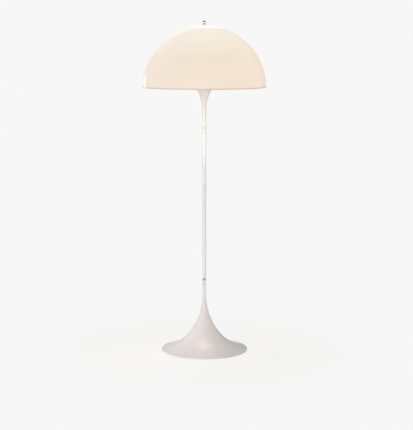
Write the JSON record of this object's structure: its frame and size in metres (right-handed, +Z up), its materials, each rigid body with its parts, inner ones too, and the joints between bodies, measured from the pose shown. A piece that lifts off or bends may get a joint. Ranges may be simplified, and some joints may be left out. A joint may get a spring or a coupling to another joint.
{
  "type": "floor lamp",
  "caption": "Mushroom floor lamp with an opal dome shade over a trumpet reflector, on a slim straight stem and a flared round foot.",
  "frame": {"origin": "on the floor, under the middle of the foot", "axes": "+Z up along the stem, +Y towards the back, where the cord inlet is, +X to the right"},
  "size_m": [0.4999, 0.5, 1.35],
  "materials": {
    "white_lacquer": "gloss lacquer on spun and drawn steel",
    "opal_acrylic": "glossy opal acrylic, lit from inside",
    "chrome": "polished chrome plate",
    "zinc_steel": "zinc-plated steel",
    "cast_iron": "rough cast iron",
    "felt": "pressed felt",
    "black_rubber": "moulded rubber",
    "clear_silicone": "translucent silicone",
    "nylon": "moulded nylon",
    "flex_sheath": "extruded sheath",
    "holder_plastic": "moulded thermoset",
    "porcelain": "unglazed porcelain",
    "brass": "drawn brass",
    "bulb_opal": "opal glass, lit",
    "bulb_metal": "rolled aluminium",
    "bulb_insulator": "black glass"
  },
  "bodies": {
    "stand": {"base_shell": "white_lacquer", "base_plate": "zinc_steel", "base_plate_screws": "zinc_steel", "base_pad": "felt", "base_weight": "cast_iron", "cord_grommet": "black_rubber", "terminal_block": "nylon", "inner_flex": "flex_sheath", "base_pipe": "zinc_steel", "base_pipe_washer": "zinc_steel", "base_pipe_nut": "zinc_steel", "neck_collar": "chrome", "stem_tube": "white_lacquer", "stem_lower_bush": "brass", "stem_upper_bush": "brass", "stem_joint_ring": "chrome", "reflector": "white_lacquer", "reflector_washer": "zinc_steel", "reflector_nut": "zinc_steel", "upper_pipe": "zinc_steel", "holder_cap": "holder_plastic", "holder_core": "porcelain", "holder_skirt": "holder_plastic", "holder_screw_shell": "brass", "holder_contact": "brass", "shade_ring": "holder_plastic", "shade_carrier": "white_lacquer", "carrier_stud": "zinc_steel", "carrier_gasket": "clear_silicone"},
    "shade": {"shade": "opal_acrylic"},
    "finial_cap": {"finial_cap": "chrome"},
    "finial": {"finial": "chrome"},
    "bulb_tip": {"bulb_contact": "brass"},
    "bulb": {"bulb_insulator": "bulb_insulator", "bulb_cap": "bulb_metal", "bulb_glass": "bulb_opal"}
  },
  "joints": [
    {"name": "shade_lift", "type": "slide", "parent": "stand", "child": "shade", "axis": [0, 0, 1], "range_m": [0, 0.28]},
    {"name": "finial_lift", "type": "slide", "parent": "shade", "child": "finial_cap", "axis": [0, 0, 1], "range_m": [0, 0.008]},
    {"name": "finial_turn", "type": "hinge", "parent": "finial_cap", "child": "finial", "pos_m": [0, 0, 1.342], "axis": [0, 0, 1], "range_deg": [0, 2885]},
    {"name": "bulb_lift", "type": "slide", "parent": "stand", "child": "bulb_tip", "axis": [0, 0, 1], "range_m": [0, 0.02177]},
    {"name": "bulb_turn", "type": "hinge", "parent": "bulb_tip", "child": "bulb", "pos_m": [0, 0, 1.17], "axis": [0, 0, 1], "range_deg": [0, 2165]}
  ],
  "couplings": [
    {"joint": "finial_turn", "follows": "finial_lift", "rad_per_m": 6283.2},
    {"joint": "bulb_turn", "follows": "bulb_lift", "rad_per_m": 1731.4}
  ]
}
